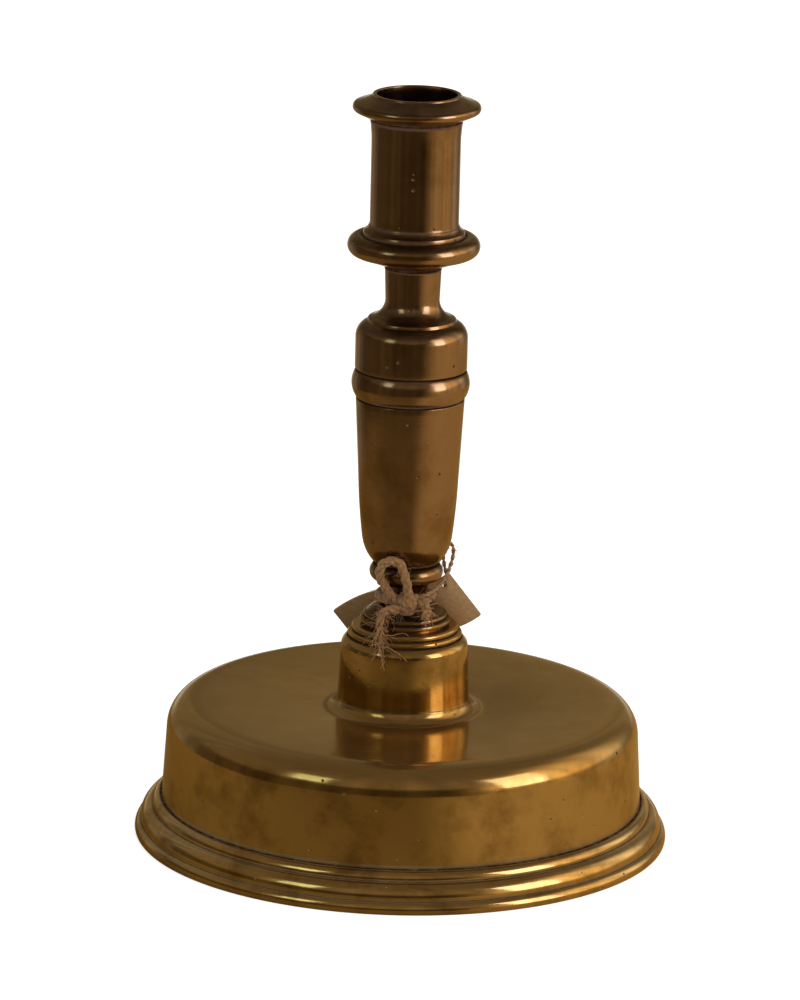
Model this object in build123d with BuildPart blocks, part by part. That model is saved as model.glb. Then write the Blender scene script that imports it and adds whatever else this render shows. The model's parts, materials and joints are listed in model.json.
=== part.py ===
"""Cast-brass column candlestick on a hollow drum base, with a twine tie and a blank card tag.

Millimetres, +Z up. The origin is the centre of the ring that the foot stands on, and the
candlestick's own axis is Z. The front, where the bow of the tie stands, faces -Y.
"""

import os
from math import pi, radians, tan

from build123d import *

# Foot mouldings of the base, from the table up
foot_radius = 74.9
foot_rim_width = 3.0
lip_height = 3.3
lip_set_in = 1.4
lip_swell = 0.75
ovolo_height = 4.7
ovolo_set_in = 3.3
ovolo_swell = 1.1
small_round_height = 2.7
small_round_set_in = 2.6
small_round_swell = 0.8

# Drum and boss of the base
drum_top_z = 38.7
drum_draft = 3.4
drum_shoulder = 8.2
drum_dish = 2.2
drum_crown = 0.35
cast_wall = 2.4
boss_height = 19.0
boss_radius = 18.7
boss_draft = 3.2
boss_root_fillet = 4.0
boss_shoulder_height = 2.6
boss_shoulder_set_in = 1.9
boss_shoulder_swell = 0.5
boss_web = 14.0
lower_collar_radius = 15.3
upper_collar_radius = 14.2
collar_height = 1.75
collar_swell = 0.8

# Screw joint between stem and base
tenon_radius = 6.0
tenon_clearance = 0.05
tenon_pilot = 5.0
tenon_length = 16.0
thread_root_radius = 5.2
seat_radius = 11.2
joint_gap = 0.7

# Stem from its foot up to the vase
foot_ring_radius = 12.5
foot_ring_height = 1.5
foot_ring_swell = 0.7
dome_ring_radius = 11.4
dome_ring_height = 1.5
dome_ring_swell = 0.6
dome_radius = 10.9
dome_rise = 2.9
dome_swell = 0.5
waist_radius = 5.8
waist_height = 3.2
knop_radius = 9.6
knop_cove_height = 3.6
knop_cove_depth = 0.8
knop_height = 4.1
knop_swell = 0.9
quirk_depth = 0.5
quirk_width = 0.5
vase_quirk_depth = 1.0
vase_foot_radius = 9.2
vase_foot_height = 7.2
vase_foot_top_radius = 12.6
vase_swell_height = 14.0
vase_low_radius = 13.85
vase_taper_height = 26.0
vase_top_radius = 15.2

# Bead, barrel and shoulder over the vase, and the neck
bead_height = 7.7
bead_swell = 1.2
barrel_radius = 15.65
barrel_height = 8.9
shoulder_height = 4.4
shoulder_set_in = 3.25
shoulder_swell = 0.9
step_height = 0.9
step_set_in = 0.2
neck_cove_height = 5.1
neck_cove_depth = 1.2
neck_foot_radius = 7.55
neck_top_radius = 7.85
neck_height = 8.2

# Drip flange, candle socket and rim
flange_throat_height = 1.7
flange_throat_radius = 8.5
flange_throat_depth = 0.2
flange_cone_height = 2.7
flange_radius = 15.45
flange_height = 5.8
flange_swell = 3.0
flange_quirk_radius = 14.3
ridge_radius = 14.0
ridge_height = 1.2
socket_cove_height = 2.4
socket_cove_depth = 0.35
socket_radius = 12.35
socket_height = 23.0
socket_flare_height = 6.2
socket_flare_radius = 12.9
socket_flare_depth = 0.1
rim_under_height = 2.0
rim_radius = 17.15
rim_thickness = 2.2
rim_swell = 0.6
rim_slope_height = 2.2
rim_slope_depth = 0.25
lip_radius = 12.2
lip_rise = 0.4
candle_bore_radius = 11.15
candle_bore_depth = 40.0

# Tie and tag
twine_diameter = 2.2
string_diameter = 1.0
tie_clearance = 0.3
wrap_opening = 30.0
knot_length = 6.2
knot_radius = 2.3
knot_rounding = 1.6
knot_stand_off = 1.9
knot_side_shift = 0.4
knot_tilt = 12.0
card_thickness = 0.5
card_width = 19.0
card_length = 37.4
card_hump_length = 21.7
card_hump = 2.7
card_hole_radius = 0.9
card_hole_edge = 3.0
card_corner_left = 20.6
card_corner_behind_collar = 3.1
card_corner_under_seat = 2.3
card_along = (0.870, -0.281, 0.402)
card_across = (0.504, 0.420, -0.756)

# Levels that follow from the heights above
foot_top_z = lip_height + ovolo_height + small_round_height
drum_radius = foot_radius - lip_set_in - ovolo_set_in - small_round_set_in
boss_quirk_z = drum_top_z + boss_height
collar_z = boss_quirk_z + collar_height
seat_z = collar_z + collar_height
web_z = seat_z - boss_web
foot_ring_z = seat_z + joint_gap
dome_ring_z = foot_ring_z + foot_ring_height
dome_z = dome_ring_z + dome_ring_height
waist_z = dome_z + dome_rise
knop_cove_z = waist_z + waist_height
knop_z = knop_cove_z + knop_cove_height
vase_z = knop_z + knop_height + quirk_width
vase_swell_z = vase_z + vase_foot_height
vase_taper_z = vase_swell_z + vase_swell_height
bead_z = vase_taper_z + vase_taper_height + quirk_width
bead_top_z = bead_z + bead_height
barrel_z = bead_top_z + quirk_width
shoulder_z = barrel_z + barrel_height
step_z = shoulder_z + shoulder_height
neck_cove_z = step_z + step_height
neck_z = neck_cove_z + neck_cove_height
flange_throat_z = neck_z + neck_height
flange_cone_z = flange_throat_z + flange_throat_height
flange_z = flange_cone_z + flange_cone_height
flange_top_z = flange_z + flange_height
ridge_top_z = flange_top_z + ridge_height
socket_z = ridge_top_z + socket_cove_height
socket_flare_z = socket_z + socket_height
rim_under_z = socket_flare_z + socket_flare_height
rim_z = rim_under_z + rim_under_height
rim_top_z = rim_z + rim_thickness
lip_z = rim_top_z + rim_slope_height
mouth_z = lip_z + lip_rise
step_radius = barrel_radius - shoulder_set_in - step_set_in


def corner_radii(corners):
    """The largest arc at each corner of a route that its two runs leave room for."""
    run_share = 0.45
    radii = []
    for before, corner, after in zip(corners, corners[1:], corners[2:]):
        run_in = corner - before
        run_out = after - corner
        half_turn = radians(run_in.get_angle(run_out) / 2)
        radii.append(run_share * min(run_in.length, run_out.length) / tan(half_turn))
    return radii


def least_self_gap(line, diameter):
    """Smallest gap between two stretches of one cord that are not neighbours along it."""
    steps = 80
    places = [line @ (step / steps) for step in range(steps + 1)]
    neighbours = int(4 * diameter / line.length * steps) + 1
    gaps = [
        (places[i] - places[j]).length - diameter
        for i in range(steps + 1)
        for j in range(i + neighbours, steps + 1)
    ]
    return min(gaps, default=None)


def describe_cord(name, tube, line, diameter, radii):
    """Print a cord's length, bends, own gap, and its volume against section times length."""
    expected = pi * diameter**2 / 4 * line.length
    gap = least_self_gap(line, diameter)
    print(
        f"{name}: length {line.length:.1f}, radii {[round(radius, 1) for radius in radii]},",
        f"self gap {gap if gap is None else round(gap, 2)}, volume ratio {tube.part.volume / expected:.4f}",
    )


def cord_tube(name, start, route_points, diameter):
    """A round cord along straight runs joined by tangent arcs, with its points given from start."""
    points = [start + Vector(*point) for point in route_points]
    radii = corner_radii(points)
    with BuildPart() as tube:
        with BuildLine() as route:
            FilletPolyline(*points, radius=radii)
        with BuildSketch(Plane(origin=route.wire() @ 0, z_dir=route.wire() % 0)):
            Circle(diameter / 2)
        sweep()
    describe_cord(name, tube, route.wire(), diameter, radii)
    return tube


def save(piece, name):
    """Label a finished piece and write it under its own name."""
    piece.part.label = name
    export_step(piece.part, f"parts/{name}.step")


os.makedirs("parts", exist_ok=True)

# Base: the outline runs down the outside, so that a positive sagitta swells outwards, then up the inside
tenon_bore_radius = tenon_radius + tenon_clearance
boss_top_radius = boss_radius - (boss_height - boss_shoulder_height) * tan(radians(boss_draft))
drum_top_radius = drum_radius - (drum_top_z - foot_top_z) * tan(radians(drum_draft))
boss_root_z = drum_top_z - drum_dish
cavity_radius = boss_radius - cast_wall
with BuildPart() as drum_base:
    with BuildSketch(Plane.XZ) as base_section:
        with BuildLine():
            seat = Line((tenon_bore_radius, seat_z), (upper_collar_radius, seat_z))
            upper_collar = SagittaArc(seat @ 1, (upper_collar_radius, collar_z), collar_swell)
            collar_step = Line(upper_collar @ 1, (lower_collar_radius, collar_z))
            lower_collar = SagittaArc(collar_step @ 1, (lower_collar_radius, boss_quirk_z), collar_swell)
            boss_quirk = Line(lower_collar @ 1, (boss_top_radius - boss_shoulder_set_in, boss_quirk_z))
            boss_shoulder = SagittaArc(
                boss_quirk @ 1,
                (boss_top_radius, boss_quirk_z - boss_shoulder_height),
                boss_shoulder_swell,
            )
            boss_side = Line(boss_shoulder @ 1, (boss_radius, boss_root_z))
            drum_top = SagittaArc(boss_side @ 1, (drum_top_radius, drum_top_z), drum_crown)
            drum_side = Line(drum_top @ 1, (drum_radius, foot_top_z))
            small_round = SagittaArc(
                drum_side @ 1,
                (drum_radius + small_round_set_in, lip_height + ovolo_height),
                small_round_swell,
            )
            ovolo = SagittaArc(small_round @ 1, (foot_radius - lip_set_in, lip_height), ovolo_swell)
            lip = SagittaArc(ovolo @ 1, (foot_radius, 0), lip_swell)
            rest = Line(lip @ 1, (foot_radius - foot_rim_width, 0))
            foot_inside = Line(rest @ 1, (drum_radius - cast_wall, foot_top_z))
            drum_inside = Line(foot_inside @ 1, (drum_top_radius - cast_wall, drum_top_z - cast_wall))
            top_inside = Line(drum_inside @ 1, (cavity_radius, boss_root_z - cast_wall))
            boss_inside = Line(top_inside @ 1, (boss_top_radius - cast_wall, web_z))
            web_under = Line(boss_inside @ 1, (tenon_bore_radius, web_z))
            Line(web_under @ 1, seat @ 0)
        make_face()
        corners = base_section.vertices()
        fillet(corners.sort_by_distance(drum_side @ 0)[0], radius=drum_shoulder)
        corners = base_section.vertices()
        fillet(corners.sort_by_distance(boss_side @ 1)[0], radius=boss_root_fillet)
        corners = base_section.vertices()
        fillet(corners.sort_by_distance(drum_inside @ 1)[0], radius=drum_shoulder - cast_wall)
    revolve(axis=Axis.Z)
save(drum_base, "drum_base")

# Stem: the outline runs from the mouth down to the tenon, then up the candle bore
with BuildPart() as stem:
    with BuildSketch(Plane.XZ):
        with BuildLine():
            mouth = Line((candle_bore_radius, mouth_z), (lip_radius, mouth_z))
            mouth_lip = Line(mouth @ 1, (lip_radius, lip_z))
            rim_slope = SagittaArc(mouth_lip @ 1, (rim_radius, rim_top_z), -rim_slope_depth)
            rim = SagittaArc(rim_slope @ 1, (rim_radius, rim_z), rim_swell)
            rim_under = Line(rim @ 1, (socket_flare_radius, rim_under_z))
            socket_flare = SagittaArc(rim_under @ 1, (socket_radius, socket_flare_z), -socket_flare_depth)
            socket = Line(socket_flare @ 1, (socket_radius, socket_z))
            socket_cove = SagittaArc(socket @ 1, (ridge_radius, ridge_top_z), -socket_cove_depth)
            ridge = Line(socket_cove @ 1, (flange_quirk_radius, flange_top_z))
            flange_quirk = Line(ridge @ 1, (flange_radius, flange_top_z))
            flange = SagittaArc(flange_quirk @ 1, (flange_radius, flange_z), flange_swell)
            flange_cone = Line(flange @ 1, (flange_throat_radius, flange_cone_z))
            throat = SagittaArc(flange_cone @ 1, (neck_top_radius, flange_throat_z), -flange_throat_depth)
            neck = Line(throat @ 1, (neck_foot_radius, neck_z))
            neck_cove = SagittaArc(neck @ 1, (step_radius, neck_cove_z), -neck_cove_depth)
            step = Line(neck_cove @ 1, (step_radius + step_set_in, step_z))
            shoulder = SagittaArc(step @ 1, (barrel_radius, shoulder_z), shoulder_swell)
            barrel = Line(shoulder @ 1, (barrel_radius, barrel_z))
            quirk_over = Line(barrel @ 1, (barrel_radius - quirk_depth, bead_top_z + quirk_width / 2))
            bead_start = Line(quirk_over @ 1, (barrel_radius - quirk_depth / 2, bead_top_z))
            bead = SagittaArc(bead_start @ 1, (vase_top_radius, bead_z), bead_swell)
            quirk_under = Line(bead @ 1, (vase_top_radius - quirk_depth, bead_z - quirk_width / 2))
            vase_rim = Line(quirk_under @ 1, (vase_top_radius, bead_z - quirk_width))
            vase_taper = Line(vase_rim @ 1, (vase_low_radius, vase_taper_z))
            vase_swell = TangentArc(vase_taper @ 1, (vase_foot_top_radius, vase_swell_z), tangent=vase_taper % 1)
            vase_foot = TangentArc(vase_swell @ 1, (vase_foot_radius, vase_z), tangent=vase_swell % 1)
            vase_quirk = Line(vase_foot @ 1, (vase_foot_radius - vase_quirk_depth, vase_z - quirk_width / 2))
            knop_start = Line(vase_quirk @ 1, (vase_foot_radius, vase_z - quirk_width))
            knop = SagittaArc(knop_start @ 1, (knop_radius, knop_z), knop_swell)
            knop_cove = SagittaArc(knop @ 1, (waist_radius, knop_cove_z), -knop_cove_depth)
            waist = Line(knop_cove @ 1, (waist_radius, waist_z))
            dome = SagittaArc(waist @ 1, (dome_radius, dome_z), dome_swell)
            dome_ring = SagittaArc(dome @ 1, (dome_ring_radius, dome_ring_z), dome_ring_swell)
            foot_ring = SagittaArc(dome_ring @ 1, (foot_ring_radius, foot_ring_z), foot_ring_swell)
            gap_top = Line(foot_ring @ 1, (seat_radius, foot_ring_z))
            gap_side = Line(gap_top @ 1, (seat_radius, seat_z))
            stem_seat = Line(gap_side @ 1, (tenon_radius, seat_z))
            pilot = Line(stem_seat @ 1, (tenon_radius, seat_z - tenon_pilot))
            undercut = Line(pilot @ 1, (thread_root_radius, seat_z - tenon_pilot))
            thread_core = Line(undercut @ 1, (thread_root_radius, seat_z - tenon_length))
            tenon_end = Line(thread_core @ 1, (0, seat_z - tenon_length))
            axis_line = Line(tenon_end @ 1, (0, mouth_z - candle_bore_depth))
            bore_floor = Line(axis_line @ 1, (candle_bore_radius, mouth_z - candle_bore_depth))
            Line(bore_floor @ 1, mouth @ 0)
        make_face()
    revolve(axis=Axis.Z)
save(stem, "stem")

# Tie: one open turn of twine round the waist
wrap_radius = waist_radius + tie_clearance + twine_diameter / 2
wrap_z = waist_z + waist_height / 2
front_angle = -90
with BuildPart() as twine_wrap:
    with BuildLine(Plane.XY.offset(wrap_z)) as wrap_line:
        CenterArc((0, 0), wrap_radius, front_angle + wrap_opening / 2, 360 - wrap_opening)
    with BuildSketch(Plane(origin=wrap_line.wire() @ 0, z_dir=wrap_line.wire() % 0)):
        Circle(twine_diameter / 2)
    sweep()
describe_cord("twine_wrap", twine_wrap, wrap_line.wire(), twine_diameter, [wrap_radius])
save(twine_wrap, "twine_wrap")

# Knot: a stubby roll of crossed strands lying across the front of the turn
knot_centre = Vector(knot_side_shift, -wrap_radius - knot_stand_off, wrap_z)
with BuildPart(Plane(origin=knot_centre, z_dir=(1, 0, tan(radians(knot_tilt))))) as twine_knot:
    Cylinder(knot_radius, knot_length)
    fillet(twine_knot.edges().filter_by(GeomType.CIRCLE), radius=knot_rounding)
save(twine_knot, "twine_knot")

# Bow: from the knot's left, up in front of the knop, and down into the knot again.
# This route and the next three are measured from the knot's centre.
bow_route = [
    (-2.4, -0.1, 0.2),
    (-5.6, -1.8, 4.0),
    (-7.7, -2.6, 9.0),
    (-6.1, -3.9, 12.1),
    (-2.8, -4.3, 12.5),
    (-1.1, -3.8, 9.2),
    (0.0, -2.5, 4.6),
    (0.5, -1.0, 1.0),
]
save(cord_tube("twine_bow", knot_centre, bow_route, twine_diameter), "twine_bow")

# Tails: the left one over the collars of the boss, the right one short
left_tail_route = [
    (-1.0, -0.7, -1.0),
    (-3.4, -2.4, -1.4),
    (-5.7, -3.9, -0.9),
    (-7.3, -5.2, -2.5),
    (-7.5, -6.5, -5.8),
    (-7.9, -8.1, -9.0),
    (-8.4, -9.1, -12.2),
]
save(cord_tube("twine_tail_left", knot_centre, left_tail_route, twine_diameter), "twine_tail_left")

right_tail_route = [
    (2.2, -0.5, -0.8),
    (4.7, -1.5, 1.1),
    (6.4, -2.5, 0.4),
    (7.0, -3.5, -2.2),
    (6.5, -4.4, -4.6),
]
save(cord_tube("twine_tail_right", knot_centre, right_tail_route, twine_diameter), "twine_tail_right")

# Card: bent in an S along its length, leaning on the collars behind the stem, with a hole near one corner
card_corner = (-card_corner_left, lower_collar_radius + card_corner_behind_collar, seat_z - card_corner_under_seat)
card_plane = Plane(origin=card_corner, x_dir=card_along, z_dir=card_across)
with BuildPart() as tag_card:
    with BuildSketch(card_plane):
        with BuildLine(mode=Mode.PRIVATE) as card_edge:
            hump = SagittaArc((0, 0), (card_hump_length, 0), -card_hump)
            dip = TangentArc(hump @ 1, (card_length, 0), tangent=hump % 1)
        trace(card_edge.line, line_width=card_thickness)
    extrude(amount=card_width)
    hole_share = 1 - card_hole_edge / dip.length
    hole_at = dip @ hole_share + Vector(0, 0, card_hole_edge)
    hole_centre = card_plane.from_local_coords(hole_at)
    hole_back = card_plane.from_local_coords(hole_at - (dip % hole_share).rotate(Axis.Z, 90))
    with Locations(Plane(origin=hole_centre, z_dir=hole_back - hole_centre)):
        Cylinder(card_hole_radius, 4 * card_thickness, mode=Mode.SUBTRACT)
save(tag_card, "tag_card")

# String: from the knot round the waist's right side, up into a standing eye, and down through the card's hole
string_route = [
    (2.0, 0.9, 1.1),
    (5.5, 1.7, 2.1),
    (8.0, 4.1, 2.8),
    (9.8, 8.3, 3.7),
    (11.0, 12.3, 4.8),
    (12.2, 15.1, 7.4),
    (12.8, 16.0, 10.0),
    (12.7, 15.7, 12.7),
    (11.2, 15.5, 13.6),
    (9.9, 15.7, 12.7),
    (9.8, 16.0, 10.0),
    (10.2, 16.0, 7.2),
    (11.0, 15.0, 4.2),
    (10.9, 15.2, 1.8),
    (10.5, 16.9, 0.7),
    (10.0, 19.1, 1.6),
]
save(cord_tube("tag_string", knot_centre, string_route, string_diameter), "tag_string")
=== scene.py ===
"""Looks of a cast-brass column candlestick on a drum base, with a jute tie and a blank card tag.

Metres, +Z up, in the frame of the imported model. The front, where the bow of the tie stands, faces -Y.
"""

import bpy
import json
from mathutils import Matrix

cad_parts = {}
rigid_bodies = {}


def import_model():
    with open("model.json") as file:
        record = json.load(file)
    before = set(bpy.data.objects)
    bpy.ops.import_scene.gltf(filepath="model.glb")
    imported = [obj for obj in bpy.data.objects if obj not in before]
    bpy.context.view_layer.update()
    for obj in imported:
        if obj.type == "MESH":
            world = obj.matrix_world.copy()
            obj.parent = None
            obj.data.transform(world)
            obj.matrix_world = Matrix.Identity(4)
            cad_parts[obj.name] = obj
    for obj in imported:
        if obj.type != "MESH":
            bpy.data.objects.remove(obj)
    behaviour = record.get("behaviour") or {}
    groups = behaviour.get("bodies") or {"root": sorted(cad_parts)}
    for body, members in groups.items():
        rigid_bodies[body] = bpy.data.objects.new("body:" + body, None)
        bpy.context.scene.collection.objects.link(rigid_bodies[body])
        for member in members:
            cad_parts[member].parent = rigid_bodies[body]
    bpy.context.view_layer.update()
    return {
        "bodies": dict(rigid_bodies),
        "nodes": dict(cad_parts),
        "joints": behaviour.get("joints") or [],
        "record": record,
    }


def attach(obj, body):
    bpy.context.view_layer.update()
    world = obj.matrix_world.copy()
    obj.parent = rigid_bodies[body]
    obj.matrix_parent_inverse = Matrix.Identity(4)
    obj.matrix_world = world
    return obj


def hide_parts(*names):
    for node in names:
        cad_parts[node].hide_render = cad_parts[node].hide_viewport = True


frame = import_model()

import json
import math
import random

import bmesh
import bpy
from bpy.props import FloatProperty, FloatVectorProperty, IntProperty, PointerProperty
from mathutils import Matrix, Vector, noise

bl_info = {
    "name": "Brass candlestick",
    "version": (1, 0, 0),
    "blender": (4, 5, 0),
    "location": "3D View > Sidebar > Candlestick",
    "description": "Dresses a column candlestick: turned brass, jute tie, card tag and studio",
    "category": "Object",
}

MM = 0.001


def linear(hex_colour):
    """An sRGB hex colour as linear red, green, blue and alpha."""
    channels = [int(hex_colour[i : i + 2], 16) / 255 for i in (0, 2, 4)]
    return tuple(c / 12.92 if c <= 0.04045 else ((c + 0.055) / 1.055) ** 2.4 for c in channels) + (1.0,)


def colour_property(name, description, hex_colour):
    """A colour that a user can change, set from an sRGB hex value."""
    return FloatVectorProperty(
        name=name,
        description=description,
        subtype="COLOR",
        size=4,
        min=0,
        max=1,
        default=linear(hex_colour),
    )


def length_property(name, description, millimetres):
    """A length that a user can change, set in millimetres."""
    return FloatProperty(name=name, description=description, subtype="DISTANCE", default=millimetres * MM)


def count_property(name, description, count, least=0):
    """A count that a user can change."""
    return IntProperty(name=name, description=description, default=count, min=least)


def light_property(name, description, strength):
    """A strength of light that a user can change."""
    return FloatProperty(name=name, description=description, default=strength, min=0)


class BrassSettings(bpy.types.PropertyGroup):
    """Finish of the two castings."""

    base_colour: colour_property("Base brass", "Golden brass of the drum base", "c0a476")
    stem_colour: colour_property("Stem brass", "Browner brass of the stem", "a58a77")
    tarnish_colour: colour_property("Tarnish", "Brown film on the rubbed metal", "7f6640")
    dull_colour: colour_property("Dull brass", "The drum's top, seldom rubbed", "9c7f50")
    # Painted shade, with some tarnish, on the upper faces of the stem's mouldings: it dims their highlights.
    upper_tarnish_shade_colour: colour_property("Dark brass", "Upper faces of the stem's mouldings", "40301c")
    # Dark colour of old polish and dirt in the quirks and pits, and of painted shade in the quirks.
    dirt_and_shade_colour: colour_property("Grime", "Dark polish and dirt left in quirks and pits", "321a08")
    turning_steps: count_property("Turning steps", "Faces round each casting", 200, least=48)
    thread_pitch: length_property("Thread pitch", "Rise of the tenon's thread in one turn", 1.8)


class TieSettings(bpy.types.PropertyGroup):
    """The jute twine, its string and the card."""

    twine_diameter: length_property("Twine", "Thickness of the jute twine", 2.8)
    string_diameter: length_property("String", "Thickness of the tag's string", 1.2)
    fibre_diameter: length_property("Fibre", "Thickness of one loose jute fibre", 0.13)
    jute_colour: colour_property("Jute", "Dry jute", "b88c5c")
    jute_shade: colour_property("Jute shade", "Darker fibres of the jute", "795430")
    string_colour: colour_property("String colour", "Paler jute of the tag's string", "c6a070")
    card_colour: colour_property("Card", "Brown kraft card", "b28c62")
    card_edge: colour_property("Handled card", "Card rubbed pale", "c8a87e")
    card_thickness: length_property("Card thickness", "Thickness of the tag", 0.4)
    strand_diameter: length_property("Strand", "Thickness of one strand of a frayed end", 0.36)
    fuzz_count: count_property("Fuzz", "Loose fibres along the twine", 300)
    fray_count: count_property("Frayed fibres", "Fibres in the left tail's end", 90)
    fray_seed: IntProperty(name="Fray seed", description="Seed of the loose fibres", default=7)


class StageSettings(bpy.types.PropertyGroup):
    """Floor, light and camera."""

    floor_colour: colour_property("Floor", "Pale floor", "fafafa")
    floor_radius: length_property("Floor radius", "Half the width of the floor", 3000)
    floor_glow: light_property("Floor glow", "What lifts the floor to white", 0.6)
    # Painted shadow: the mirrored floor turns darker towards the front.
    sheet_colour: colour_property("Mirror floor", "The floor that the metal mirrors near the foot", "a88c56")
    # Painted light: the mirrored floor's lighter tone towards the right lamp.
    sheet_light: colour_property("Mirror floor, right", "The same floor towards the light", "dcba7c")
    sheet_radius: length_property("Mirror floor radius", "How far that floor reaches", 365)
    room_colour: colour_property("Room", "Warm room that the metal mirrors", "ffd589")
    back_colour: colour_property("Room colour behind", "Paler room behind the object", "fff0d8")
    room_fill: light_property("Room fill", "Light of the room on matt pieces", 0.6)
    room_front: light_property("Room by the camera", "Mirrored light there", 0.07)
    room_right: light_property("Room on the right", "Mirrored light there", 0.5)
    window_wall: light_property("Window wall", "Added over the right horizon", 1.0)
    room_wall: light_property("Room walls", "Mirrored light over the horizon", 0.2)
    room_left: light_property("Room on the left", "Mirrored light there", 0.04)
    room_back: light_property("Room behind", "Mirrored light there", 0.26)
    camera_distance: length_property("Camera distance", "From the axis to the camera, level", 1700)
    camera_height: length_property("Camera height", "Above the floor", 557)


# Outlines of the castings in millimetres: radius, height, swell of the arc that leads there and easing of
# the corner. Both run down the outside, so that a positive swell stands out from the metal. The base's goes
# on up its hollow, and the stem's starts in the socket.
BASE_OUTLINE = (
    (6.05, 61.2, 0, 0),
    (14.2, 61.2, 0, 0.2),
    (14.2, 59.45, 0.8, 0),
    (15.3, 59.45, 0, 0),
    (15.3, 57.7, 0.8, 0),
    (15.88, 57.7, 0, 0),
    (17.78, 55.1, 0.5, 0),
    (18.5, 40.59, 0, 0),
    (22.78, 36.8, -1.203, 0),
    (58.0, 38.53, 0.195, 0),
    (66.41, 30.82, 2.308, 0),
    (67.6, 10.7, 0, 0),
    (70.2, 8.0, 0.8, 0),
    (73.5, 3.3, 1.1, 0),
    (74.9, 0, 0.75, 0.2),
    (71.9, 0, 0, 0.2),
    (65.2, 10.7, 0, 1.0),
    (63.54, 36.3, 0, 5.6),
    (16.3, 34.1, 0, 1.0),
    (15.38, 47.2, 0, 1.0),
    (6.05, 47.2, 0, 0.3),
    (6.05, 61.2, 0, 0),
)
STEM_OUTLINE = (
    (0, 172.4, 0, 0),
    (11.15, 172.4, 0, 0.8),
    (11.15, 212.4, 0, 0.25),
    (12.2, 212.4, 0, 0.15),
    (12.2, 212.0, 0, 0.15),
    (17.15, 209.8, -0.25, 0.2),
    (17.15, 207.6, 0.6, 0.2),
    (12.9, 205.6, 0, 0.3),
    (12.35, 199.4, -0.1, 0.3),
    (12.35, 176.4, 0, 0.3),
    (14.0, 174.0, -0.35, 0.2),
    (14.3, 172.8, 0, 0),
    (15.45, 172.8, 0, 0),
    (15.45, 167.0, 3.0, 0),
    (8.5, 164.3, 0, 0.4),
    (7.85, 162.6, -0.2, 0.2),
    (7.55, 154.4, 0, 0.3),
    (12.2, 149.3, -1.2, 0.2),
    (12.4, 148.4, 0, 0),
    (15.65, 144.0, 0.9, 0.4),
    (15.65, 135.1, 0, 0.15),
    (15.15, 134.85, 0, 0),
    (15.4, 134.6, 0, 0.1),
    (15.2, 126.9, 1.2, 0.1),
    (14.7, 126.65, 0, 0),
    (15.2, 126.4, 0, 0.15),
    (13.85, 100.4, 0, 0),
    (12.6, 86.4, 0.131, 0),
    (9.2, 79.2, 0.632, 0.2),
    (8.2, 78.95, 0, 0),
    (9.2, 78.7, 0, 0.1),
    (9.6, 74.6, 0.9, 0.2),
    (5.8, 71.0, -0.8, 0.2),
    (5.8, 67.8, 0, 0.3),
    (10.9, 64.9, 0.5, 0),
    (11.4, 63.4, 0.6, 0),
    (12.5, 61.9, 0.7, 0.2),
    (11.2, 61.9, 0, 0),
    (11.2, 61.2, 0, 0),
    (6.0, 61.2, 0, 0.2),
    (6.0, 56.2, 0, 0.3),
    (5.2, 56.2, 0, 0),
    (5.2, 45.2, 0, 0.4),
    (0, 45.2, 0, 0),
)
ARC_STEP = math.radians(8)
LEAST_ARC_STEPS = 4
LONGEST_RUN = 1.6 * MM
EASING_SEGMENTS = 4
ROUND_PROFILE = 0.5
WELD = 0.001 * MM
SHARP_ANGLE = math.radians(38)


def arc_to(bm, last, end, swell):
    """Spin the last vertex of an outline along the arc of that swell that ends at end."""
    chord = end - last.co
    angle = 4 * math.atan(2 * swell / chord.length)
    across = Vector((-chord.z, 0, chord.x)).normalized()
    radius = chord.length / 2 / math.sin(angle / 2)
    centre = (last.co + end) / 2 + across * (swell - radius)
    by_angle, by_length = math.ceil(abs(angle) / ARC_STEP), math.ceil(chord.length / LONGEST_RUN)
    steps = max(LEAST_ARC_STEPS, by_angle, by_length)
    made = bmesh.ops.spin(bm, geom=[last], cent=centre, axis=(0, 1, 0), angle=angle, steps=steps)
    return made["geom_last"][0]


def draw_outline(bm, outline):
    """Wire of an outline in the XZ plane, with its corners eased and its long runs divided."""
    radius, height, _, _ = outline[0]
    last = bm.verts.new(Vector((radius, 0, height)) * MM)
    eased = []
    for radius, height, swell, easing in outline[1:]:
        end = Vector((radius, 0, height)) * MM
        if swell:
            last = arc_to(bm, last, end, swell * MM)
        else:
            before, last = last, bm.verts.new(end)
            bm.edges.new((before, last))
        if easing:
            eased.append((last, easing * MM))
    for corner, easing in eased:
        bmesh.ops.bevel(
            bm,
            geom=[corner],
            offset=easing,
            offset_type="OFFSET",
            segments=EASING_SEGMENTS,
            profile=ROUND_PROFILE,
            affect="VERTICES",
            material=-1,
            clamp_overlap=True,
        )
    for edge in [e for e in bm.edges if e.calc_length() > LONGEST_RUN]:
        bmesh.ops.subdivide_edges(bm, edges=[edge], cuts=int(edge.calc_length() / LONGEST_RUN))
    bmesh.ops.remove_doubles(bm, verts=bm.verts[:], dist=WELD)


def walk_outline(bm, start):
    """The outline's vertices in order, from the one at start."""
    current = min(bm.verts, key=lambda vert: (vert.co - start).length)
    edge = min(current.link_edges, key=lambda e: abs(e.other_vert(current).co.z - start.z))
    chain = [current]
    while True:
        current = edge.other_vert(current)
        if current is chain[0]:
            return chain
        chain.append(current)
        onward = [e for e in current.link_edges if e is not edge]
        if not onward:
            return chain
        edge = onward[0]


# How deep in a quirk the metal takes the dark colour: dirt there, and painted shade.
QUIRK_DIRT_SHADE_REACH = 1.2 * MM
QUIRK_DIRT_SHADE_FROM = 0.22
QUIRK_DIRT_SHADE_FULL = 0.45


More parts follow.
